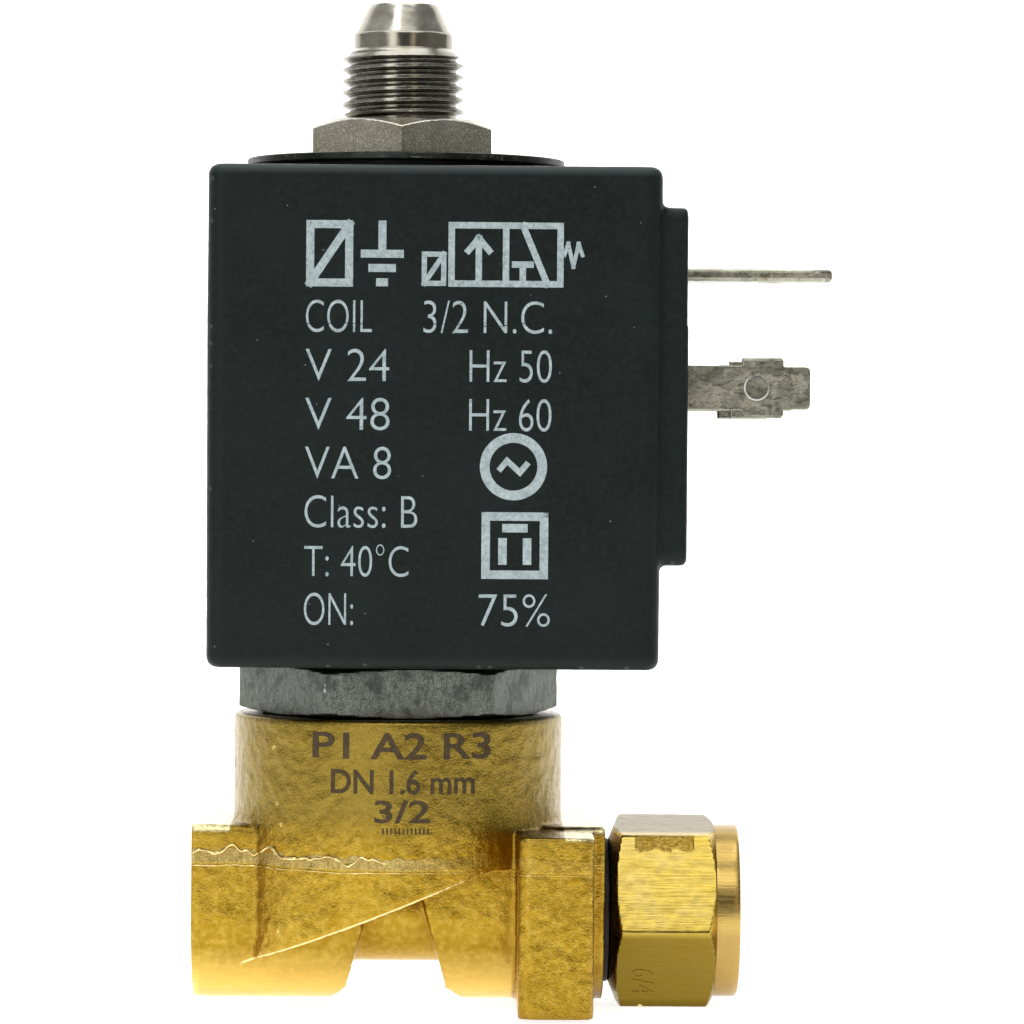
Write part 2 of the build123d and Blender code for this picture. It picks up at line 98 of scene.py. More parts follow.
class Finish:
    """A material that is put together node by node. Its texture lengths are in millimetres."""

    def __init__(self, name, metallic=0.0, roughness=0.5):
        self.material = bpy.data.materials.new(name)
        self.material.use_nodes = True
        self.tree = self.material.node_tree
        self.shader = self.tree.nodes["Principled BSDF"]
        self.shader.inputs["Metallic"].default_value = metallic
        self.shader.inputs["Roughness"].default_value = roughness
        scale = self.add("ShaderNodeMapping")
        scale.inputs["Scale"].default_value = (1 / mm, 1 / mm, 1 / mm)
        self.link(self.add("ShaderNodeTexCoord").outputs["Object"], scale.inputs["Vector"])
        self.place = scale.outputs["Vector"]
        self.geometry = self.add("ShaderNodeNewGeometry")
        self.last_bump = None

    def add(self, kind, **settings):
        node = self.tree.nodes.new(kind)
        for key, value in settings.items():
            setattr(node, key, value)
        return node

    def link(self, output, socket):
        self.tree.links.new(output, socket)

    def stretched(self, factors):
        """The place, squeezed or stretched along X, Y and Z."""
        node = self.add("ShaderNodeMapping")
        node.inputs["Scale"].default_value = factors
        self.link(self.place, node.inputs["Vector"])
        return node.outputs["Vector"]

    def noise(self, size, detail=4.0, rough=0.55, stretch=(1, 1, 1), distort=0.0):
        """Cloudy noise with blobs of that size."""
        node = self.add("ShaderNodeTexNoise")
        node.inputs["Scale"].default_value = 1 / size
        node.inputs["Detail"].default_value = detail
        node.inputs["Roughness"].default_value = rough
        node.inputs["Distortion"].default_value = distort
        self.link(self.stretched(stretch), node.inputs["Vector"])
        return node.outputs["Fac"]

    def cells(self, size):
        """Distance to the nearest of many scattered points."""
        node = self.add("ShaderNodeTexVoronoi")
        node.inputs["Scale"].default_value = 1 / size
        self.link(self.place, node.inputs["Vector"])
        return node.outputs["Distance"]

    def ranged(self, value, low, high, to_low=0.0, to_high=1.0):
        """A value spread from one range to another, held at both ends."""
        node = self.add("ShaderNodeMapRange")
        set_range(node, low, high, to_low, to_high)
        self.link(value, node.inputs["Value"])
        return node.outputs["Result"]

    def calc(self, kind, first, second):
        """Arithmetic on two values. Any result but a difference is held to 0 to 1."""
        node = self.add("ShaderNodeMath", operation=kind, use_clamp=kind != "SUBTRACT")
        for socket, value in zip(node.inputs, (first, second)):
            if isinstance(value, (int, float)):
                socket.default_value = value
            else:
                self.link(value, socket)
        return node.outputs[0]

    def both(self, first, second):
        """The product of two masks: 1 where both are."""
        return self.calc("MULTIPLY", first, second)

    def between(self, value, rise, fall, full=1.0):
        """A mask that comes up over one range of a value and goes down over another."""
        return self.both(self.ranged(value, *rise), self.ranged(value, *fall, full, 0.0))

    def blend(self, factor, first, second):
        """Colour mix. A colour is an output or three linear numbers."""
        node = self.add("ShaderNodeMix", data_type="RGBA")
        for socket, value in ((node.inputs[0], factor), (node.inputs[6], first),
                              (node.inputs[7], second)):
            if isinstance(value, tuple):
                socket.default_value = (*value, 1)
            elif isinstance(value, (int, float)):
                socket.default_value = value
            else:
                self.link(value, socket)
        return node.outputs[2]

    def part_of(self, axis):
        """The place along one axis, in millimetres."""
        node = self.add("ShaderNodeSeparateXYZ")
        self.link(self.place, node.inputs[0])
        return node.outputs[axis]

    def edges(self, low=0.5, high=0.6):
        """1 on convex edges, where wear and a painted highlight are laid."""
        return self.ranged(self.geometry.outputs["Pointiness"], low, high)

    def hollow_shade(self, reach=1.5):
        """1 in corners and recesses, where painted shade is laid."""
        node = self.add("ShaderNodeAmbientOcclusion", samples=6)
        node.inputs["Distance"].default_value = reach * mm
        return self.ranged(node.outputs["AO"], 0.35, 0.95, 1.0, 0.0)

    def colour(self, value):
        self.tint = value
        self.link(value, self.shader.inputs["Base Color"])

    def base(self, factor, first, second):
        self.colour(self.blend(factor, first, second))

    def lay(self, factor, over):
        """Lays a colour over the one so far, where the factor is high."""
        self.colour(self.blend(factor, self.tint, over))

    def roughness(self, value, low, high, top=0.7):
        """Roughness that goes from low to high while the value goes from 0.3 to top."""
        self.link(self.ranged(value, 0.3, top, low, high), self.shader.inputs["Roughness"])

    def bump(self, height, depth):
        """Raises the surface by up to that depth, over any bumps already there."""
        node = self.add("ShaderNodeBump")
        node.inputs["Distance"].default_value = depth * mm
        self.link(height, node.inputs["Height"])
        if self.last_bump:
            self.link(self.last_bump, node.inputs["Normal"])
        self.last_bump = node.outputs["Normal"]
        self.link(self.last_bump, self.shader.inputs["Normal"])


def forged_brass():
    look = Finish("forged_brass", metallic=1.0, roughness=0.25)
    broad = look.noise(4.0, 3)
    grain = look.noise(0.55, 5, 0.6)
    look.base(look.ranged(broad, 0.35, 0.7), (0.315, 0.185, 0.012), (0.40, 0.252, 0.024))
    look.lay(look.ranged(grain, 0.42, 0.72, 0.0, 0.6), (0.58, 0.40, 0.075))
    deep = look.ranged(look.noise(0.45, 4, 0.6), 0.30, 0.42, 0.2, 0.0)
    look.lay(deep, (0.22, 0.12, 0.012))
    stain = look.ranged(look.noise(2.6, 6, 0.7), 0.62, 0.78)
    look.lay(look.both(stain, 0.5), (0.26, 0.13, 0.02))
    # Painted shade in corners and recesses
    painted_hollow_shade = look.both(look.hollow_shade(1.6), 0.75)
    look.lay(painted_hollow_shade, (0.20, 0.09, 0.012))

    # Trimmed flash: a scraped, greyer band over the level where the dies met
    height = look.part_of(2)
    along = look.part_of(0)
    parting = parting_z / mm
    wave = look.noise(2.4, 3, stretch=(1, 1, 0.1))
    wave = look.ranged(wave, 0.25, 0.75, parting + 0.75, parting + 1.75)
    under_wave = look.ranged(look.calc("SUBTRACT", wave, height), 0.0, 0.08)
    over_parting = look.ranged(height, parting + 0.12, parting + 0.2)
    band = look.both(under_wave, over_parting)
    scraped = look.noise(0.16, 4, 0.7, stretch=(1, 1, 0.12))
    grey = look.blend(look.ranged(scraped, 0.3, 0.7), (0.20, 0.15, 0.05), (0.60, 0.50, 0.24))
    left_half = look.ranged(along, 17.0, 22.0, 0.55, 0.1)
    look.lay(look.both(band, left_half), grey)
    # Painted shade: the boss is painted darker and greener than the parts below it, for the dark front
    # that it reflects
    boss_painted_shade = look.ranged(height, 5.5, 8.5, 0.0, 0.75)
    look.lay(boss_painted_shade, (0.19, 0.14, 0.030))

    # Painted highlights: the rounded undersides, the blocks' top edges and the rim of the web are
    # painted bright, as the floor and the lamps reflect in them
    boss_left, boss_right, lug_left = 3.0, 29.3, 25.3
    off_lug = look.ranged(along, lug_left, lug_left + 0.3, 1.0, 0.0)
    under = look.both(look.ranged(height, -6.0, -2.5, 0.85, 0.0), off_lug)
    look.lay(under, (0.85, 0.62, 0.17))
    left_of_boss = look.ranged(along, boss_left, boss_left + 0.1, 1.0, 0.0)
    off_boss = look.calc("ADD", left_of_boss, look.ranged(along, boss_right, boss_right + 0.1))
    painted_edge_highlight = look.both(look.ranged(height, 6.55, 6.8, 0.0, 0.75), off_boss)
    look.lay(painted_edge_highlight, (0.98, 0.86, 0.48))
    web_left, web_right, web_foot = 4.0, 23.6, -3.92
    web_edge = look.ranged(along, web_left, web_right, web_foot, parting)
    rim = look.between(look.calc("SUBTRACT", height, web_edge), (-0.02, 0.03), (0.15, 0.22))
    on_web = look.between(along, (web_left - 0.2, web_left + 0.2),
                          (web_right - 0.6, web_right - 0.2), 0.8)
    look.lay(look.both(rim, on_web), (0.98, 0.82, 0.40))
    # Worn edges with a painted highlight
    look.lay(look.edges(0.66, 0.84), (0.85, 0.66, 0.24))
    look.roughness(grain, 0.15, 0.26, 0.8)

    # The undersides of the two ports are smooth, the rest has the skin of the die
    smooth = look.ranged(height, -4.0, 1.5, 0.15, 1.0)
    on_lug = look.ranged(along, lug_left + 0.3, lug_left + 0.7)
    rough_skin = look.calc("MAXIMUM", smooth, on_lug)
    look.bump(look.both(look.noise(1.1, 2, 0.4, distort=0.8), rough_skin), 0.03)
    look.bump(look.both(look.noise(0.20, 4, 0.6, distort=0.8), rough_skin), 0.050)
    look.bump(look.noise(0.25, 4, 0.6, stretch=(0.2, 0.2, 1)), 0.010)
    look.bump(look.both(look.ranged(scraped, 0.3, 0.7), band), 0.02)
    return look.material


def bright_flash():
    look = Finish("bright_flash", metallic=1.0, roughness=0.22)
    rough = look.noise(0.3, 4, 0.6)
    look.base(look.ranged(rough, 0.3, 0.7), (0.60, 0.42, 0.10), (0.92, 0.80, 0.42))
    # Painted shade in the hollows
    look.lay(look.hollow_shade(0.4), (0.35, 0.20, 0.04))
    look.roughness(rough, 0.15, 0.30)
    look.bump(rough, 0.01)
    return look.material


def turned_brass():
    look = Finish("turned_brass", metallic=1.0, roughness=0.25)
    rings = look.noise(0.12, 3, stretch=(1, 0.03, 0.03))
    look.base(look.noise(3, 4), (0.62, 0.42, 0.13), (0.78, 0.58, 0.24))
    # Painted shade in the hollows
    look.lay(look.hollow_shade(1.0), (0.10, 0.06, 0.02))
    look.roughness(rings, 0.18, 0.35)
    look.bump(rings, 0.006)
    return look.material


def brushed_brass():
    look = Finish("brushed_brass", metallic=1.0, roughness=0.3)
    brush = look.noise(0.16, 5, 0.65, stretch=(0.045, 1, 1))
    cloud = look.noise(2.5, 4)
    look.base(look.ranged(brush, 0.3, 0.75), (0.52, 0.36, 0.055), (0.74, 0.56, 0.13))
    look.lay(look.ranged(cloud, 0.45, 0.8), (0.62, 0.48, 0.16))
    specks = look.ranged(look.cells(0.9), 0.04, 0.10, 0.6, 0.0)
    look.lay(specks, (0.25, 0.17, 0.06))
    # Painted shade in the hollows
    look.lay(look.hollow_shade(0.8), (0.16, 0.10, 0.03))
    # Rough strip that the saw left along one corner, painted shade on the lower flat and above the
    # corner, and a tan collar
    height = look.part_of(2)
    along = look.part_of(0)
    strip_left, strip_right, corner_low = 35.1, 39.7, 6.35
    ragged = look.ranged(look.noise(0.9, 4, 0.7), 0.3, 0.7, corner_low - 1.6, corner_low - 0.75)
    strip = look.ranged(look.calc("SUBTRACT", height, ragged), 0.0, 0.12)
    strip = look.both(strip, look.ranged(height, corner_low, corner_low + 0.15, 1.0, 0.0))
    ends = look.between(along, (strip_left, strip_left + 0.1), (strip_right, strip_right + 0.1))
    torn = look.both(strip, ends)
    crumbs = look.noise(0.2, 4, 0.7)
    look.lay(look.both(torn, look.ranged(crumbs, 0.4, 0.6)), (0.36, 0.20, 0.02))
    # Painted shade on the lower flat and above the corner
    look.lay(look.ranged(height, -1.6, -0.7, 0.85, 0.0), (0.17, 0.11, 0.007))
    look.lay(look.ranged(height, corner_low + 0.05, corner_low + 0.25, 0.0, 0.9), (0.115, 0.088, 0.034))
    collar_start = 41.6
    on_collar = look.ranged(along, collar_start - 0.02, collar_start + 0.02, 0.0, 0.75)
    look.lay(on_collar, (0.46, 0.30, 0.10))
    # Worn edges with a painted highlight
    look.lay(look.edges(0.60, 0.74), (0.80, 0.66, 0.28))
    look.roughness(brush, 0.20, 0.36, 0.8)
    look.bump(brush, 0.012)
    look.bump(look.noise(0.3, 4), 0.006)
    look.bump(look.both(crumbs, torn), 0.08)
    return look.material


def tumbled_steel():
    look = Finish("tumbled_steel", metallic=1.0, roughness=0.45)
    streak = look.noise(0.28, 6, 0.7, stretch=(1, 1, 0.35))
    grit = look.noise(0.10, 4, 0.75)
    look.base(look.ranged(streak, 0.35, 0.7), (0.060, 0.065, 0.055), (0.175, 0.185, 0.158))
    look.lay(look.ranged(grit, 0.50, 0.68), (0.34, 0.355, 0.32))
    patch = look.ranged(look.noise(2.2, 5, 0.6), 0.52, 0.64)
    look.lay(look.both(patch, 0.6), (0.035, 0.036, 0.033))
    # Worn edges with a painted highlight
    look.lay(look.edges(0.58, 0.72), (0.42, 0.44, 0.40))
    look.roughness(grit, 0.36, 0.55)
    look.bump(streak, 0.045)
    look.bump(grit, 0.03)
    return look.material


def turned_steel():
    look = Finish("turned_steel", metallic=1.0, roughness=0.25)
    rings = look.noise(0.09, 3, stretch=(0.03, 0.03, 1))
    cloud = look.noise(1.4, 5, 0.6)
    look.base(look.ranged(cloud, 0.35, 0.7), (0.40, 0.375, 0.30), (0.56, 0.55, 0.49))
    height = look.part_of(2)
    thread_foot, thread_top, neck_top = thread_foot_z / mm, thread_top_z / mm, neck_top_z / mm
    on_hexagon = look.ranged(height, thread_foot - 0.8, thread_foot - 0.3, 1.0, 0.0)
    flecks = look.ranged(look.noise(0.13, 4, 0.75), 0.52, 0.62, 0.0, 0.8)
    look.lay(look.both(on_hexagon, 0.6), (0.31, 0.29, 0.18))
    look.lay(look.both(flecks, on_hexagon), (0.85, 0.84, 0.76))
    pits = look.ranged(look.cells(0.45), 0.06, 0.14, 0.6, 0.0)
    look.lay(look.both(pits, on_hexagon), (0.06, 0.055, 0.035))
    on_thread = look.between(height, (thread_foot - 0.1, thread_foot + 0.3),
                             (thread_top - 0.5, thread_top - 0.1), 0.5)
    look.lay(on_thread, (0.10, 0.10, 0.088))
    on_neck = look.between(height, (thread_top, thread_top + 0.05),
                           (neck_top - 0.05, neck_top + 0.05), 0.55)
    look.lay(on_neck, (0.16, 0.145, 0.105))
    # Painted shade in the hollows
    look.lay(look.hollow_shade(0.35), (0.04, 0.037, 0.03))
    # Worn edges with a painted highlight
    look.lay(look.edges(0.57, 0.70), (0.80, 0.80, 0.77))
    look.roughness(cloud, 0.16, 0.28)
    look.bump(rings, 0.004)
    look.bump(look.both(look.noise(0.2, 5, 0.6), on_hexagon), 0.012)
    return look.material


def stainless():
    look = Finish("stainless", metallic=1.0, roughness=0.28)
    rings = look.noise(0.15, 3, stretch=(0.03, 0.03, 1))
    look.base(look.noise(2.0, 4), (0.42, 0.42, 0.40), (0.58, 0.58, 0.56))
    # Worn edges with a painted highlight
    look.lay(look.edges(), (0.75, 0.75, 0.74))
    look.roughness(rings, 0.22, 0.36)
    look.bump(rings, 0.005)
    return look.material


def washer_steel():
    look = Finish("washer_steel", metallic=1.0, roughness=0.4)
    oxide = look.noise(1.8, 6, 0.65)
    look.base(look.ranged(oxide, 0.35, 0.7), (0.018, 0.020, 0.018), (0.050, 0.053, 0.049))
    scratch = look.ranged(look.noise(0.25, 4, 0.7, stretch=(0.1, 1, 1)), 0.58, 0.7)
    look.lay(scratch, (0.22, 0.22, 0.21))
    look.roughness(oxide, 0.3, 0.55)
    look.bump(oxide, 0.02)
    return look.material


def tinned():
    look = Finish("tinned", metallic=1.0, roughness=0.38)
    rolled = look.noise(0.30, 6, 0.7, stretch=(0.4, 1, 1))
    cloud = look.noise(2.2, 4, 0.6)
    look.base(look.ranged(rolled, 0.3, 0.72), (0.150, 0.148, 0.110), (0.36, 0.355, 0.29))
    look.lay(look.ranged(cloud, 0.45, 0.7, 0.0, 0.6), (0.55, 0.53, 0.42))
    smudge = look.ranged(look.noise(1.1, 6, 0.75), 0.55, 0.68)
    look.lay(look.both(smudge, 0.75), (0.065, 0.055, 0.035))
    copper = look.ranged(look.noise(1.3, 5, 0.65), 0.62, 0.74)
    look.lay(look.both(copper, 0.7), (0.22, 0.13, 0.045))
    look.roughness(rolled, 0.20, 0.38)
    look.bump(rolled, 0.018)
    look.bump(smudge, -0.02)
    return look.material


def coil_resin():
    look = Finish("coil_resin", roughness=0.42)
    look.shader.inputs["Specular IOR Level"].default_value = 0.16
    cloud = look.noise(6.0, 4)
    skin = look.noise(0.4, 5, 0.6)
    look.base(look.ranged(cloud, 0.3, 0.7), (0.0036, 0.0072, 0.0064), (0.0064, 0.0110, 0.0100))
    look.lay(look.ranged(skin, 0.45, 0.8), (0.0095, 0.0155, 0.0142))
    speck = look.ranged(look.cells(1.7), 0.020, 0.040, 1.0, 0.0)
    look.lay(look.both(speck, 0.55), (0.30, 0.34, 0.33))
    # Painted highlight on the rounded top rim, and on the worn edges
    painted_top_rim_light = look.ranged(look.part_of(2), 58.1, 58.7, 0.0, 0.8)
    look.lay(painted_top_rim_light, (0.045, 0.060, 0.056))
    look.lay(look.edges(0.60, 0.74), (0.085, 0.105, 0.100))
    look.roughness(skin, 0.36, 0.52)
    look.bump(skin, 0.02)
    look.bump(look.noise(0.09, 3, 0.6), 0.006)
    return look.material


def nylon():
    look = Finish("nylon", roughness=0.5)
    look.base(look.noise(1.2, 4), (0.10, 0.10, 0.095), (0.17, 0.17, 0.16))
    look.bump(look.noise(0.2, 4), 0.01)
    return look.material


def rubber(name, dark, light):
    look = Finish(name, roughness=0.6)
    dust = look.noise(0.5, 6, 0.7)
    look.base(look.ranged(dust, 0.4, 0.75), dark, light)
    look.roughness(dust, 0.45, 0.75)
    look.bump(dust, 0.02)
    return look.material


def copper():
    look = Finish("copper", metallic=1.0, roughness=0.3)
    wire = look.noise(0.25, 2, stretch=(0.05, 0.05, 1))
    look.base(wire, (0.55, 0.18, 0.06), (0.80, 0.36, 0.17))
    look.bump(wire, 0.05)
    return look.material


def plain_metal(name, dark, light):
    look = Finish(name, metallic=1.0, roughness=0.4)
    rolled = look.noise(0.3, 5, 0.6, stretch=(1, 1, 0.3))
    look.base(rolled, dark, light)
    look.roughness(rolled, 0.3, 0.5)
    look.bump(rolled, 0.015)
    return look.material


def print_ink():
    look = Finish("print_ink", roughness=0.55)
    wear = look.noise(0.35, 6, 0.75)
    look.base(look.ranged(wear, 0.35, 0.7), (0.22, 0.28, 0.29), (0.46, 0.54, 0.55))
    look.lay(look.ranged(look.noise(0.12, 3), 0.62, 0.7), (0.06, 0.08, 0.08))
    look.bump(wear, 0.01)
    return look.material


def burnt_mark():
    look = Finish("burnt_mark", metallic=0.4, roughness=0.55)
    burn = look.noise(0.25, 5, 0.7)
    look.base(look.ranged(burn, 0.35, 0.75), (0.028, 0.017, 0.005), (0.095, 0.058, 0.016))
    look.bump(burn, 0.03)
    return look.material


finishes = {make.__name__: make() for make in (
    forged_brass, bright_flash, turned_brass, brushed_brass, tumbled_steel, turned_steel, stainless,
    washer_steel, tinned, coil_resin, nylon, copper, print_ink, burnt_mark)}
for name, dark, light in (("rubber", (0.012, 0.012, 0.012), (0.035, 0.035, 0.034)),
                          ("dark_sealant", (0.006, 0.003, 0.003), (0.035, 0.022, 0.016))):
    finishes[name] = rubber(name, dark, light)
for name, dark, light in (("spring_steel", (0.35, 0.35, 0.34), (0.55, 0.55, 0.54)),
                          ("yoke_steel", (0.25, 0.25, 0.24), (0.40, 0.40, 0.39)),
                          ("nut_mark", (0.17, 0.11, 0.010), (0.36, 0.25, 0.035))):
    finishes[name] = plain_metal(name, dark, light)


# ---- Building pieces ----
def finish_piece(piece, material, body, replaced=""):
    """Gives a piece its material in a slot of that name, ties it to its body and hides the CAD part
    that it replaces, if one is told.
    """
    piece.data.materials.clear()
    piece.data.materials.append(finishes[material])
    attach(piece, body)
    if replaced:
        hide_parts(replaced)
    return piece


def new_object(name, data):
    added = bpy.data.objects.new(name, data)
    bpy.context.scene.collection.objects.link(added)
    return added


def ring_faces(rows, around):
    """Faces between closed rows of points, the last row joined to the first."""
    faces = []
    for row in range(rows):
        here, ahead = row * around, (row + 1) % rows * around
        for step in range(around):
            beside = (step + 1) % around
            faces.append((here + step, here + beside, ahead + beside, ahead + step))
    return faces


def face_outward(mesh):
    """Joins the points that lie on each other and turns every face outward."""
    shell = bmesh.new()
    shell.from_mesh(mesh)
    bmesh.ops.remove_doubles(shell, verts=shell.verts, dist=1e-7)
    bmesh.ops.recalc_face_normals(shell, faces=shell.faces)
    shell.to_mesh(mesh)
    shell.free()


def column(name, axis, rings, around):
    """Closed skin round an axis. A ring is (height, radius), radius a number or f(angle, height).

    The rings run from the inner mouth out, along the outside and back through the bore, so
    the last one joins up with the first.
    """
    mesh = bpy.data.meshes.new(name)
    verts = []
    for height, radius in rings:
        for step in range(around):
            angle = math.tau * step / around
            reach = radius(angle, height) if callable(radius) else radius
            verts.append(axis @ Vector((reach * math.cos(angle), reach * math.sin(angle), height)))
    mesh.from_pydata(verts, [], ring_faces(len(rings), around))
    mesh.shade_smooth()
    mesh.set_sharp_from_angle(angle=math.radians(32))
    return new_object(name, mesh)


def spread(start, end, count):
    """Evenly spaced heights from start to end."""
    return [start + (end - start) * step / (count - 1) for step in range(count)]


def least(first, second, soft):
    """The smaller of two radii, rounded where they cross."""
    mix = max(soft - abs(first - second), 0) / soft
    return min(first, second) - mix * mix * soft / 4


def hex_radius(angle, flat, turn, corner_round):
    """Radius of a hexagon with that distance from its middle to a flat."""
    period = math.tau / 6
    off = (angle - turn + period / 2) % period - period / 2
    one = flat / math.cos(off)
    other = flat / math.cos(period - abs(off))
    return least(one, other, corner_round)


def settle(name, piece):
    """The piece with its modifiers worked into its mesh."""
    graph = bpy.context.evaluated_depsgraph_get()
    mesh = bpy.data.meshes.new_from_object(piece.evaluated_get(graph))
    mesh.name = name
    old = piece.data
    piece.modifiers.clear()
    piece.data = mesh
    if isinstance(old, bpy.types.Mesh):
        bpy.data.meshes.remove(old)
    return piece


def reskinned(name, node, pitch, move):
    """Copy of a CAD node with an even skin, each point of it moved by move(point, normal)."""
    piece = new_object(name, nodes[node].data.copy())
    skin = piece.modifiers.new("skin", "REMESH")
    skin.mode = "VOXEL"
    skin.voxel_size = pitch
    softened = piece.modifiers.new("softened", "SMOOTH")
    softened.factor = 0.5
    softened.iterations = 2
    settle(name, piece)
    mesh = piece.data
    mesh.shade_smooth()
    normals = [vertex.normal.copy() for vertex in mesh.vertices]
    for vertex, normal in zip(mesh.vertices, normals):
        vertex.co += normal * move(vertex.co, normal)
    return piece


def circle(radius, count):
    turns = [math.tau * k / count for k in range(count)]
    return [(radius * math.cos(turn), radius * math.sin(turn)) for turn in turns]


def filled_curve(name, loops, depth):
    """Flat curve filled between its loops, as deep as that to both sides."""
    curve = bpy.data.curves.new(name, "CURVE")
    curve.dimensions = "2D"
    curve.fill_mode = "BOTH"
    curve.extrude = depth
    for loop in loops:
        spline = curve.splines.new("POLY")
        spline.points.add(len(loop) - 1)
        for point, (x, y) in zip(spline.points, loop):
            point.co = (x, y, 0, 1)
        spline.use_cyclic_u = True
    return curve


def plate(name, outline, holes, thickness, place, edge):
    """Stamped plate with rounded edges. Outline points are (x, y, rounding); holes (x, y, r)."""
    loops = [rounded(outline)]
    for x, y, radius in holes:
        loops.append([(x + right, y + up) for right, up in circle(radius, 40)])
    curve = filled_curve(name, loops, thickness / 2 - edge)
    curve.bevel_depth = edge
    curve.bevel_resolution = 2
    curve.offset = -edge
    return made_mesh(name, new_object(name, curve), place)


def rounded(outline, steps=5):
    """Outline points with each corner cut to an arc of its own radius."""
    points = []
    for here in range(len(outline)):
        x, y, radius = outline[here]
        corner = Vector((x, y))
        back = (Vector(outline[here - 1][:2]) - corner).normalized()
        ahead = (Vector(outline[(here + 1) % len(outline)][:2]) - corner).normalized()
        if radius == 0:
            points.append((x, y))
            continue
        half = back.angle(ahead) / 2
        start = corner + back * radius / math.tan(half)
        end = corner + ahead * radius / math.tan(half)
        for step in range(steps + 1):
            part = step / steps
            arc = start.lerp(corner, part).lerp(corner.lerp(end, part), part)
            points.append((arc.x, arc.y))
    return points


def made_mesh(name, source, place):
    """Turns a curve or text object into a mesh piece, moved to its place."""
    graph = bpy.context.evaluated_depsgraph_get()
    mesh = bpy.data.meshes.new_from_object(source.evaluated_get(graph))
    mesh.name = name
    mesh.transform(place)
    bpy.data.objects.remove(source)
    face_outward(mesh)
    mesh.shade_flat()
    return new_object(name, mesh)


def lettering(name, words, left, right, low, high, place, thickness, bold=-0.012):
    """Raised words that fill a box of a plane, from left to right and low to high."""
    text = bpy.data.curves.new(name, "FONT")
    text.body = words
    text.size = 1
    text.offset = bold
    source = new_object(name, text)
    bpy.context.view_layer.update()
    corners = [Vector(corner) for corner in source.bound_box]
    x_low, x_high = min(c.x for c in corners), max(c.x for c in corners)
    y_low, y_high = min(c.y for c in corners), max(c.y for c in corners)
    wide = (right - left) / (x_high - x_low)
    tall = (high - low) / (y_high - y_low)
    text.extrude = 0.5
    fit = Matrix.Translation((left - x_low * wide, low - y_low * tall, 0))
    fit = fit @ Matrix.Diagonal((wide, tall, thickness, 1))
    return made_mesh(name, source, place @ fit)


# ---- Forged body ----
def forge_skin(point, normal):
    """Uneven forged skin that fades out towards the flat machined faces."""
    near_end = min(point.x - body_low.x, body_high.x - point.x)
    near_level = min(point.z - body_low.z, body_high.z - point.z)
    inside = math.hypot(point.x - tube_x, point.y) < 8.4 * mm and point.z > 5 * mm
    in_port = math.hypot(point.y, point.z) < thread_root + 0.3 * mm
    if inside or in_port:
        return 0
    hold = min(max((min(near_end, near_level) - 0.1 * mm) / (0.8 * mm), 0), 1)
    spot = point / mm
    dents = noise.noise(spot * 0.8) + 0.7 * noise.noise(spot * 1.9) + 0.4 * noise.noise(spot * 3.8)
    return hold * 0.05 * mm * dents


body_skin = reskinned("forged_body", "valve_body", 0.2 * mm, forge_skin)
finish_piece(body_skin, "forged_brass", "valve", replaced="valve_body")


def skin_tree(piece):
    mesh = piece.data
    return BVHTree.FromPolygons([v.co for v in mesh.vertices], [p.vertices for p in mesh.polygons])


def outline_at(piece, height):
    """Longest closed loop in which a level plane cuts a piece, as points in order."""
    shell = bmesh.new()
    shell.from_mesh(piece.data)
    parts = shell.verts[:] + shell.edges[:] + shell.faces[:]
    cut = bmesh.ops.bisect_plane(shell, geom=parts, plane_co=(0, 0, height), plane_no=(0, 0, 1))
    left = {edge for edge in cut["geom_cut"] if isinstance(edge, bmesh.types.BMEdge)}
    loops = []
    while left:
        edge = left.pop()
        start, here = edge.verts
        loop = [start.co.copy(), here.co.copy()]
        while True:
            ahead = next((e for e in here.link_edges if e in left), None)
            if ahead is None:
                break
            left.remove(ahead)
            here = ahead.other_vert(here)
            loop.append(here.co.copy())
        loops.append(loop)
    shell.free()
    return max(loops, key=len)


def even(loop, pitch):
    """Points at an even pitch along a closed loop."""
    points, carried = [], 0.0
    for here, ahead in zip(loop, loop[1:] + loop[:1]):
        length = (ahead - here).length
        while carried < length:
            points.append(here.lerp(ahead, carried / length))
            carried += pitch
        carried -= length
    return points


def make_bead(name, skin, level, wave, thick, fade_x, sink):
    """Ragged bead round a skin at one level.

    To the right of fade_x it is thinner and lies deeper by sink; it dives under the end faces.
    """
    loop = even(outline_at(skin, level), 0.12 * mm)
    count = len(loop)
    area = sum(loop[k - 1].x * loop[k].y - loop[k].x * loop[k - 1].y for k in range(count))
    if area < 0:
        loop.reverse()
    left_end, right_end = min(point.x for point in loop), max(point.x for point in loop)
    sides = 8
    verts = []
    for number, point in enumerate(loop):
        along = (loop[(number + 3) % count] - loop[number - 3]).normalized()
        outward = along.cross(Vector((0, 0, 1)))
        spot = point / mm
        rough = noise.noise(spot * 1.7)
        lift = wave * (noise.noise(spot * 0.45 + Vector((0, 0, 7))) + 0.5 * noise.noise(spot * 1.3))
        left_half = min(max((fade_x - point.x) / (3 * mm), 0), 1)
        size = thick * (0.75 + 0.6 * rough) * (0.35 + 0.65 * left_half)
        off_end = min(point.x - left_end, right_end - point.x) / (0.25 * mm)
        deep = sink * (1 - left_half) + 1.2 * thick * max(1 - off_end, 0)
        middle = point - outward * deep + Vector((0, 0, lift * (0.3 + 0.7 * left_half)))
        for side in range(sides):
            angle = math.tau * side / sides
            reach = outward * math.cos(angle) + Vector((0, 0, 0.8 * math.sin(angle)))
            verts.append(middle + size * reach)
    mesh = bpy.data.meshes.new(name)
    mesh.from_pydata(verts, [], ring_faces(count, sides))
    face_outward(mesh)
    mesh.shade_smooth()
    return new_object(name, mesh)


bead_end = tube_x + 1 * mm
flash = make_bead("flash_edge", body_skin, parting_z + 1.05 * mm, 0.9 * mm, 0.22 * mm, bead_end,
                  0.3 * mm)
ridge = make_bead("parting_ridge", body_skin, parting_z - 0.05 * mm, 0.1 * mm, 0.09 * mm, bead_end, 0)
for piece in (flash, ridge):
    finish_piece(piece, "bright_flash", "valve")


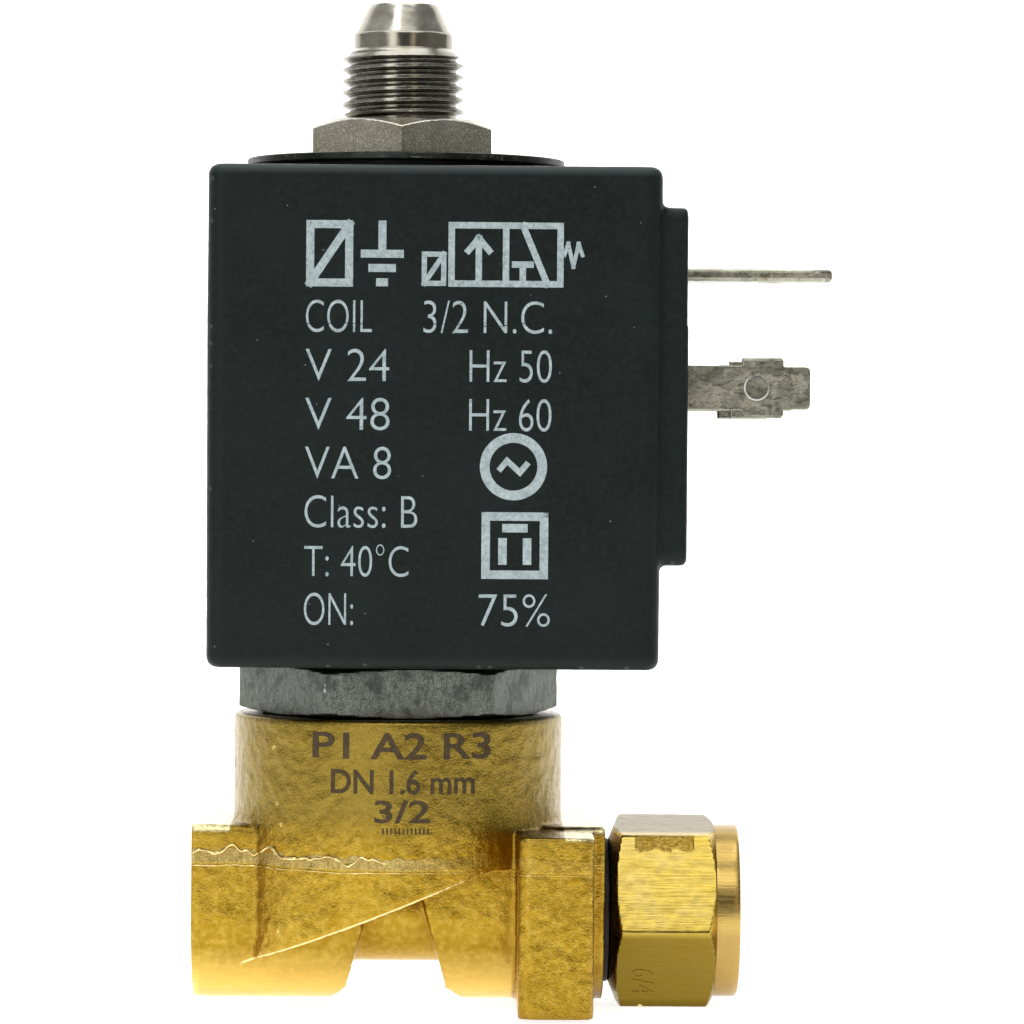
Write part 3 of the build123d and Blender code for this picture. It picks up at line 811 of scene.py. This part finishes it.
# ---- Tube base hexagon ----
def make_tube_base():
    flat = 11.2 * mm
    turn = math.radians(35)
    low, high = body_high.z, base_high.z
    face = flat * 0.96
    slope = math.tan(math.radians(12))

    def outside(angle, height):
        end = min(height - low, high - height)
        cone = face + end / slope
        spot = Vector((25 * math.cos(angle), 25 * math.sin(angle), height / mm))
        worn = 0.03 * mm * noise.noise(spot)
        return least(hex_radius(angle, flat, turn, 0.6 * mm), cone, 0.12 * mm) + worn

    spigot = 7.94 * mm
    rings = [(base_low.z, 5.5 * mm), (base_low.z, spigot), (low, spigot)]
    rings += [(height, outside) for height in spread(low, high, 34)]
    rings += [(high, 6.2 * mm), (high, 5.5 * mm)]
    return column("tube_base_hexagon", upright, rings, 720)


finish_piece(make_tube_base(), "tumbled_steel", "valve", replaced="tube_base")


# ---- Exhaust fitting with its thread ----
def make_fitting():
    flat = 7.1 * mm
    low = fitting_low.z
    neck_radius, tip_radius = 3.95 * mm, 2.75 * mm
    face = flat * 0.95
    slope = math.tan(math.radians(30))

    def hexagon_side(angle, height):
        foot = flat + 0.25 * mm + (height - low) * 6
        cone = face + (thread_foot_z - height) / slope
        return least(hex_radius(angle, flat, 0, 0.12 * mm), min(cone, foot), 0.1 * mm)

    def thread(angle, height):
        phase = (height / thread_pitch - angle / math.tau) % 1
        ridge = 1 - abs(2 * phase - 1)
        ridge = min(max((ridge - 0.16) / 0.62, 0), 1)
        ridge = ridge * ridge * (3 - 2 * ridge)
        fade_in = min(max((height - thread_foot_z - 0.15 * mm) / (0.5 * mm), 0), 1)
        crest = thread_root + (thread_crest - thread_root) * ridge
        taper = neck_radius + max(thread_top_z - height, 0) * 1.15
        return least(thread_root + (crest - thread_root) * fade_in, taper, 0.05 * mm)

    bore, socket = 1.5 * mm, 3.46 * mm
    bore_foot, socket_top = 65.3 * mm, 64.2 * mm
    rings = [(low, socket)]
    rings += [(height, hexagon_side) for height in spread(low, thread_foot_z, 44)]
    rings += [(thread_foot_z, thread_root + 0.25 * mm)]
    rings += [(height, thread) for height in spread(thread_foot_z + 0.05 * mm, thread_top_z, 280)]
    neck = spread(thread_top_z + 0.03 * mm, neck_top_z - 0.05 * mm, 6)
    rings += [(height, neck_radius) for height in neck]
    rings += [(neck_top_z + 0.03 * mm, neck_radius - 0.06 * mm)]
    seat_length, seat_taper = fitting_high.z - neck_top_z, tip_radius - neck_radius
    rings += [(neck_top_z + seat_length * part, neck_radius + seat_taper * part)
              for part in spread(0.04, 0.97, 8)]
    rings += [(fitting_high.z, tip_radius - 0.04 * mm), (fitting_high.z, bore + 0.12 * mm)]
    rings += [(fitting_high.z - 0.12 * mm, bore), (bore_foot, bore), (socket_top, socket)]
    return column("exhaust_fitting_threaded", upright, rings, 360)


finish_piece(make_fitting(), "turned_steel", "fitting", replaced="exhaust_fitting")


# ---- Washer under the fitting ----
def make_washer():
    middle = (washer_low + washer_high) / 2
    radius = (washer_high.x - washer_low.x) / 2
    bore = 5.9 * mm
    low, high = washer_low.z, washer_high.z
    edge = 0.16 * mm
    rings = [(low + edge, bore), (low, bore + edge), (low, radius - edge / 2), (low + edge / 2, radius)]
    rings += [(high - edge, radius), (high - edge * 0.3, radius - edge * 0.3), (high, radius - edge)]
    rings += [(high, bore + edge), (high - edge, bore)]
    return column("stamped_washer", Matrix.Translation((middle.x, 0, 0)), rings, 180)


finish_piece(make_washer(), "washer_steel", "coil", replaced="coil_washer")


# ---- Coil housing ----
def housing_skin(point, normal):
    """A moulded skin that sinks a little, and sinks further on the end face above the mould's parting
    line.
    """
    spot = point / mm
    hollow = math.hypot(point.x - tube_x, point.y) < 8 * mm
    if hollow:
        return 0
    move = -0.08 * mm + 0.012 * mm * noise.noise(spot * 0.9) + 0.008 * mm * noise.noise(spot * 3)
    if normal.x > 0.7 and point.x > coil_high.x - 1 * mm and point.z > coil_parting_z:
        move -= 0.07 * mm
    if abs(normal.z) < 0.4:
        move += 0.004 * mm * noise.noise(spot * 6)
    return move


housing = reskinned("moulded_coil", "coil_housing", 0.22 * mm, housing_skin)
finish_piece(housing, "coil_resin", "coil", replaced="coil_housing")
seam = make_bead("mould_seam", housing, coil_parting_z, 0.25 * mm, 0.05 * mm, coil_high.x, 0)
finish_piece(seam, "coil_resin", "coil")


# ---- Terminals ----
def make_earth():
    root, tip = earth_low.x, earth_high.x
    half = earth_high.y
    middle_z = (earth_low.z + earth_high.z) / 2
    outline = [(root, -half, 0), (tip - 1 * mm, -half, 0.3 * mm), (tip, -half + 0.8 * mm, 0.3 * mm),
               (tip, half - 0.8 * mm, 0.3 * mm), (tip - 1 * mm, half, 0.3 * mm), (root, half, 0)]
    holes = [(tube_x + 29.5 * mm, 0, 0.9 * mm)]
    return plate("earth_blade", outline, holes, earth_high.z - earth_low.z,
                 Matrix.Translation((0, 0, middle_z)), 0.3 * mm)


finish_piece(make_earth(), "tinned", "coil", replaced="earth_terminal")


def make_live(name, node):
    """Blade of two layers whose widened middle has its edges folded into round ears."""
    low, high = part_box(node)
    middle_y, middle_z = (low.y + high.y) / 2, (low.z + high.z) / 2
    half_tail, half_wide, half_nose = 1.75 * mm, (high.z - low.z) / 2, 1.68 * mm
    ear_start, ear_end = tube_x + 25.9 * mm, tube_x + 30.1 * mm
    layer = 0.39 * mm
    hole = ((ear_start + ear_end) / 2, 0, 0.86 * mm)

    def at(y, z=0.0):
        return Matrix.Translation((0, y, middle_z + z)) @ standing

    def strip(start, half):
        upper = [(start, half_tail, 0.15 * mm), (start, half, 0.3 * mm), (ear_end, half, 0.15 * mm),
                 (ear_end, half_nose, 0.1 * mm), (high.x, half_nose, 0.42 * mm)]
        tail = (low.x, half_tail, 0)
        return [(x, -y, r) for x, y, r in [tail] + upper] + list(reversed([tail] + upper))

    def ear(start, side):
        corners = [(start, half_tail - 0.3 * mm), (ear_end - 0.1 * mm, half_tail - 0.3 * mm),
                   (ear_end - 0.1 * mm, half_wide), (start, half_wide)]
        outline = [(x, side * y, 0.12 * mm) for x, y in corners]
        return outline if side > 0 else outline[::-1]

    depth = high.y - low.y - 0.08 * mm
    fold = ear_start + 0.95 * mm
    near, middle, far = at(low.y + layer / 2), at(middle_y), at(high.y - layer / 2)
    near_outline = strip(fold, half_wide - 0.14 * mm)
    far_outline = strip(ear_start, half_wide - 0.3 * mm)
    pieces = [
        plate(name + "_near_layer", near_outline, [hole], layer, near, 0.09 * mm),
        plate(name + "_far_layer", far_outline, [], layer, far, 0.09 * mm),
        plate(name + "_top_ear", ear(fold, 1), [], depth, middle, 0.16 * mm),
        plate(name + "_bottom_ear", ear(ear_start, -1), [], depth - 0.1 * mm, middle, 0.16 * mm),
    ]
    hole_rim = [(0.0, 0.84), (0.03, 0.86), (0.02, 1.0), (-0.02, 1.08), (-0.1, 1.0), (-0.1, 0.84)]
    rim = column(name + "_rim", at(low.y + 0.02 * mm) @ Matrix.Translation((hole[0], 0, 0)),
                 [(height * mm, radius * mm) for height, radius in hole_rim], 64)
    for piece in pieces + [rim]:
        # The hole's rim gets the brighter stainless finish as a painted highlight
        look = "stainless" if piece is rim else "tinned"
        finish_piece(piece, look, "coil", node if piece is pieces[0] else "")


for side in ("front", "rear"):
    make_live("live_blade_" + side, "live_terminal_" + side)


# ---- Union nut ----
def make_nut():
    flat = 7.0 * mm
    turn = math.radians(8) + math.tau / 12
    start, end = nut_low.x, nut_high.x
    hex_end = start + 8.51 * mm
    collar = 6.9 * mm
    low_face = flat * 0.8
    bore, pipe = thread_crest + 0.06 * mm, mounts["outlet"]["dims"]["r_mm"] * mm
    bore_end, pipe_start = 39.0 * mm, 40.9 * mm

    def outside(angle, x):
        low_cone = low_face + (x - start) / math.tan(math.radians(22))
        high_cone = collar + (hex_end - x) / math.tan(math.radians(30))
        spot = Vector((math.cos(angle) * 9, math.sin(angle) * 9, x / mm * 1.5))
        rough = 0.012 * mm * noise.noise(spot)
        side = hex_radius(angle, flat, turn, 0.2 * mm)
        return least(side, min(low_cone, high_cone), 0.08 * mm) + rough

    rings = [(start, bore + 0.15 * mm)]
    rings += [(x, outside) for x in spread(start, hex_end, 80)]
    rings += [(x, collar) for x in spread(hex_end + 0.03 * mm, end - 0.25 * mm, 5)]
    rings += [(end - 0.08 * mm, collar - 0.08 * mm), (end, collar - 0.28 * mm)]
    rings += [(end, pipe + 0.25 * mm), (end - 0.25 * mm, pipe), (pipe_start, pipe)]
    rings += [(bore_end, bore), (start + 0.15 * mm, bore)]
    return column("union_nut_hexagon", along_ports, rings, 480)


finish_piece(make_nut(), "brushed_brass", "nut", replaced="union_nut")


# ---- Materials of the CAD pieces that keep their own mesh ----
kept_nodes = {
    "outlet_nipple": "turned_brass", "ferrule": "turned_brass", "connector_insert": "turned_brass",
    "armature_tube": "stainless", "fixed_core": "stainless", "plunger": "stainless",
    "plunger_spring": "spring_steel", "upper_seal_spring": "spring_steel",
    "yoke_frame": "yoke_steel", "coil_winding": "copper", "shading_ring": "copper",
    "coil_bobbin": "nylon", "lower_seal": "rubber", "upper_seal": "rubber",
    "base_o_ring": "rubber", "fitting_o_ring": "rubber", "coil_bottom_seal": "rubber",
    "coil_top_seal": "rubber", "nipple_seal": "dark_sealant",
}
for node, material in kept_nodes.items():
    nodes[node].data.materials.clear()
    nodes[node].data.materials.append(finishes[material])


# ---- Print on the coil and marks on the brass ----
def laid_on(piece, tree, across):
    """Cuts a thin flat piece into strips and lays it on the front of a skin."""
    shell = bmesh.new()
    shell.from_mesh(piece.data)
    for axis in (0, 2):
        values = [vertex.co[axis] for vertex in shell.verts]
        normal = Vector((axis == 0, 0, axis == 2))
        cut = min(values) + across
        while cut < max(values):
            parts = shell.verts[:] + shell.edges[:] + shell.faces[:]
            bmesh.ops.bisect_plane(shell, geom=parts, plane_co=normal * cut, plane_no=normal)
            cut += across
    for vertex in shell.verts:
        hit = tree.ray_cast(Vector((vertex.co.x, -50 * mm, vertex.co.z)), Vector((0, 1, 0)))[0]
        vertex.co.y += hit.y if hit else 0
    shell.to_mesh(piece.data)
    shell.free()
    return piece


def printed(piece):
    return finish_piece(laid_on(piece, housing_tree, 0.4 * mm), "print_ink", "coil")


def strokes(name, bars, width=0.62):
    """Thin straight bars drawn on the coil's front, each from (x, z) to (x, z)."""
    mesh = bpy.data.meshes.new(name)
    verts, faces = [], []
    for x0, z0, x1, z1 in bars:
        along = Vector((x1 - x0, z1 - z0)).normalized() * width / 2
        side = Vector((-along.y, along.x))
        first = len(verts)
        start, end = Vector((x0, z0)) - along, Vector((x1, z1)) + along
        corners = (start - side, end - side, end + side, start + side)
        for depth in (-ink_thickness / 2, ink_thickness / 2):
            verts += [facing_front @ Vector((c.x * mm, c.y * mm, depth)) for c in corners]
        faces += [tuple(first + k for k in (3, 2, 1, 0)), tuple(first + k for k in (4, 5, 6, 7))]
        for here, ahead in ((0, 1), (1, 2), (2, 3), (3, 0)):
            faces.append((first + here, first + ahead, first + 4 + ahead, first + 4 + here))
    mesh.from_pydata(verts, [], faces)
    return printed(new_object(name, mesh))


def print_line(name, words, left, right, low, high):
    return printed(lettering(name, words, left * mm, right * mm, low * mm, high * mm,
                             facing_front, ink_thickness))


housing_tree = skin_tree(housing)
body_tree = skin_tree(body_skin)
row_pitch, row_top, row_height = 3.77, 48.42, 2.5
print_left, print_right = -7.2, 11.8
left_rows = (("COIL", -2.1), ("V 24", -0.75), ("V 48", -0.7), ("VA 8", -0.55), ("Class: B", 1.5),
             ("T: 40\u00b0C", 0.85), ("ON:", -3.4))
right_rows = ((0, "3/2 N.C.", 1.85), (1, "Hz 50", 5.45), (2, "Hz 60", 5.45), (6, "75%", 6.3))
for row, (words, right) in enumerate(left_rows):
    high = row_top - row * row_pitch
    print_line(f"print_left_{row}", words, print_left, right, high - row_height, high)
for row, words, left in right_rows:
    high = row_top - row * row_pitch
    print_line(f"print_right_{row}", words, left, print_right, high - row_height, high)


def joined(points):
    """Bars from each point to the next."""
    return [(*start, *end) for start, end in zip(points, points[1:])]


def outlined(left, low, right, high):
    return joined([(left, low), (right, low), (right, high), (left, high), (left, low)])


# Symbols: a solenoid, an earth, a 3/2-way valve, alternating current and the plug's face
low_z, high_z = 49.75, 54.25
middle_z = (low_z + high_z) / 2
arrow_side_z, arrow_tip_z = middle_z + 0.3, high_z - 1
strokes("symbol_solenoid", outlined(-6.9, low_z, -3.9, high_z) + [(-6.9, low_z, -3.9, high_z)])
strokes("symbol_earth", [(-1.35, high_z, -1.35, middle_z), (-2.7, middle_z, 0, middle_z),
                         (-2.1, 50.9, -0.6, 50.9), (-1.5, 49.8, -1.2, 49.8)])
arrow = [(6.1, low_z, 6.1, arrow_tip_z), (5.3, arrow_side_z, 6.1, arrow_tip_z),
         (6.9, arrow_side_z, 6.1, arrow_tip_z)]
vent = [(9.5, low_z, 9.5, low_z + 1.4), (8.9, low_z + 1.5, 10.1, low_z + 1.5),
        (9.5, high_z, 11.4, low_z)]
two_boxes = outlined(4.0, low_z, 12.4, high_z) + [(8.2, low_z, 8.2, high_z)]
strokes("symbol_valve", two_boxes + arrow + vent, 0.5)
turns = [(12.7, 0), (13.0, 0.9), (13.4, -0.9), (13.8, 0.9), (14.1, 0)]
strokes("symbol_spring", joined([(x, middle_z + rise) for x, rise in turns]), 0.3)
strokes("symbol_operator", outlined(1.9, low_z, 3.4, middle_z) + [(1.9, low_z, 3.4, middle_z)], 0.4)
pins = [(8.1, 28.4, 8.1, 29.8), (10.0, 28.4, 10.0, 29.8), (8.4, 30.9, 9.7, 30.9)]
strokes("symbol_plug", outlined(6.8, 27.3, 11.3, 31.8) + pins, 0.66)


def make_ring():
    source = new_object("ring", filled_curve("ring", [circle(2.6, 48), circle(1.85, 48)], 0.5))
    place = facing_front @ Matrix.Translation((8.9 * mm, 35.65 * mm, 0))
    place = place @ Matrix.Diagonal((mm, mm, ink_thickness, 1))
    return printed(made_mesh("symbol_ring", source, place))


make_ring()
strokes("symbol_current", joined([(7.9, 35.5), (8.4, 36.1), (9.4, 35.2), (9.9, 35.8)]), 0.45)


def brass_mark(name, words, left, right, low, high):
    piece = lettering(name, words, left * mm, right * mm, low * mm, high * mm,
                      facing_front, 0.05 * mm, bold=0.016)
    return finish_piece(laid_on(piece, body_tree, 0.35 * mm), "burnt_mark", "valve")


brass_mark("mark_ports", "P1 A2 R3", -6.56, 7.37, 12.81, 14.90)
brass_mark("mark_bore", "DN 1.6 mm", -5.09, 6.13, 10.10, 12.04)
brass_mark("mark_way", "3/2", -1.68, 2.65, 7.86, 9.64)
brass_mark("mark_line", "||||||||||||", -1.06, 2.57, 7.01, 7.47)


def make_nut_mark():
    """Raised pipe size, outer and inner, that reads downwards on the lower front flat."""
    angle = math.radians(218)
    outward = Vector((0, math.cos(angle), math.sin(angle)))
    down = Vector((0, -outward.z, outward.y))
    middle = Vector((35.85 * mm, 0, 0)) + outward * 7.0 * mm + down * 1.24 * mm
    place = Matrix((down, (1, 0, 0), outward)).transposed().to_4x4()
    place.translation = middle
    half_long, half_tall = 1.37 * mm, 0.88 * mm
    piece = lettering("nut_size", "6/4", -half_long, half_long, -half_tall, half_tall, place, 0.07 * mm)
    return finish_piece(piece, "nut_mark", "nut")


make_nut_mark()


# ---- Studio ----
def make_camera():
    """Looks at the front from a little left of the middle, level with the middle of the coil."""
    distance = 385 * mm
    place = Vector((tube_x + 4.2 * mm, -distance, 38.15 * mm))
    aim = Vector((tube_x + 9.0 * mm, 0, 31.91 * mm))
    lean = math.radians(0.45)
    seen_width = 82.25 * mm
    data = bpy.data.cameras.new("camera")
    data.sensor_width = 36
    data.lens = data.sensor_width * distance / seen_width
    data.clip_start = 0.01
    camera = new_object("camera", data)
    turn = (aim - place).to_track_quat("-Z", "Y").to_matrix().to_4x4()
    camera.matrix_world = Matrix.Translation(place) @ turn @ Matrix.Rotation(lean, 4, "Z")
    bpy.context.scene.camera = camera


def area_light(name, place, aim, width, height, power, tint=(1, 1, 1)):
    data = bpy.data.lights.new(name, "AREA")
    data.shape = "RECTANGLE"
    data.size, data.size_y = width, height
    data.energy = power
    data.color = tint
    turn = (Vector(aim) - Vector(place)).to_track_quat("-Z", "Y").to_matrix().to_4x4()
    new_object(name, data).matrix_world = Matrix.Translation(place) @ turn


def make_floor():
    """Pale sheet that lies under the valve and curves up behind it."""
    mesh = bpy.data.meshes.new("floor")
    floor_z = cad_box[0][2]
    half, front, back, bend, rise = 0.9, -0.9, 0.35, 0.25, 0.9
    path = [(front, 0), (back, 0)]
    for angle in spread(0.1, math.pi / 2, 12):
        path.append((back + bend * math.sin(angle), bend - bend * math.cos(angle)))
    path += [(back + bend, rise)]
    verts = [(x, y, floor_z + z) for y, z in path for x in (-half, half)]
    faces = [(2 * k, 2 * k + 1, 2 * k + 3, 2 * k + 2) for k in range(len(path) - 1)]
    mesh.from_pydata(verts, [], faces)
    mesh.shade_smooth()
    look = Finish("floor", roughness=0.6)
    pale = look.blend(look.noise(40, 3), (0.93, 0.93, 0.93), (0.96, 0.96, 0.96))
    look.base(look.ranged(look.part_of(1), -240, -120), (0.82, 0.82, 0.82), pale)
    look.shader.inputs["Emission Color"].default_value = (1, 1, 1, 1)
    glow = look.ranged(look.part_of(1), -180, -60, 0.25, 0.8)
    look.link(glow, look.shader.inputs["Emission Strength"])
    mesh.materials.append(look.material)
    new_object("floor", mesh)


def make_world():
    """White studio that is darker at the front, where the photographer stands, and right."""
    world = bpy.data.worlds.new("studio")
    world.use_nodes = True
    tree = world.node_tree
    direction = tree.nodes.new("ShaderNodeTexCoord").outputs["Generated"]
    parts = tree.nodes.new("ShaderNodeSeparateXYZ")
    tree.links.new(direction, parts.inputs[0])
    ramp = tree.nodes.new("ShaderNodeMapRange")
    ramp.interpolation_type = "SMOOTHSTEP"
    set_range(ramp, -1.0, -0.4, 0.10, 0.50)
    tree.links.new(parts.outputs["Y"], ramp.inputs["Value"])
    shade = tree.nodes.new("ShaderNodeMapRange")
    set_range(shade, -0.2, 0.6, 1.0, 0.55)
    tree.links.new(parts.outputs["X"], shade.inputs["Value"])
    product = tree.nodes.new("ShaderNodeMath")
    product.operation = "MULTIPLY"
    tree.links.new(ramp.outputs["Result"], product.inputs[0])
    tree.links.new(shade.outputs["Result"], product.inputs[1])
    tree.nodes["Background"].inputs["Color"].default_value = (1, 1, 1, 1)
    tree.links.new(product.outputs[0], tree.nodes["Background"].inputs["Strength"])
    bpy.context.scene.world = world


make_camera()
make_floor()
make_world()
area_light("softbox_above", (tube_x, -0.49, 0.55), (tube_x, 0, 0.03), 0.70, 0.30, 1.35)
area_light("softbox_left", (-0.26, -0.62, 0.10), (tube_x, 0, 0.04), 0.22, 0.55, 1.0)
area_light("warm_strip", (0.28, -0.62, 0.10), (tube_x, 0, 0.04), 0.05, 0.50, 0.16, (1.0, 0.86, 0.62))
area_light("softbox_high", (-0.13, -0.31, 0.68), (tube_x, 0, 0.07), 0.12, 0.20, 0.4)
area_light("overhead", (0.02, 0.05, 0.75), (tube_x, 0, 0.03), 0.6, 0.5, 2.2)
bpy.context.scene.view_settings.view_transform = "Standard"
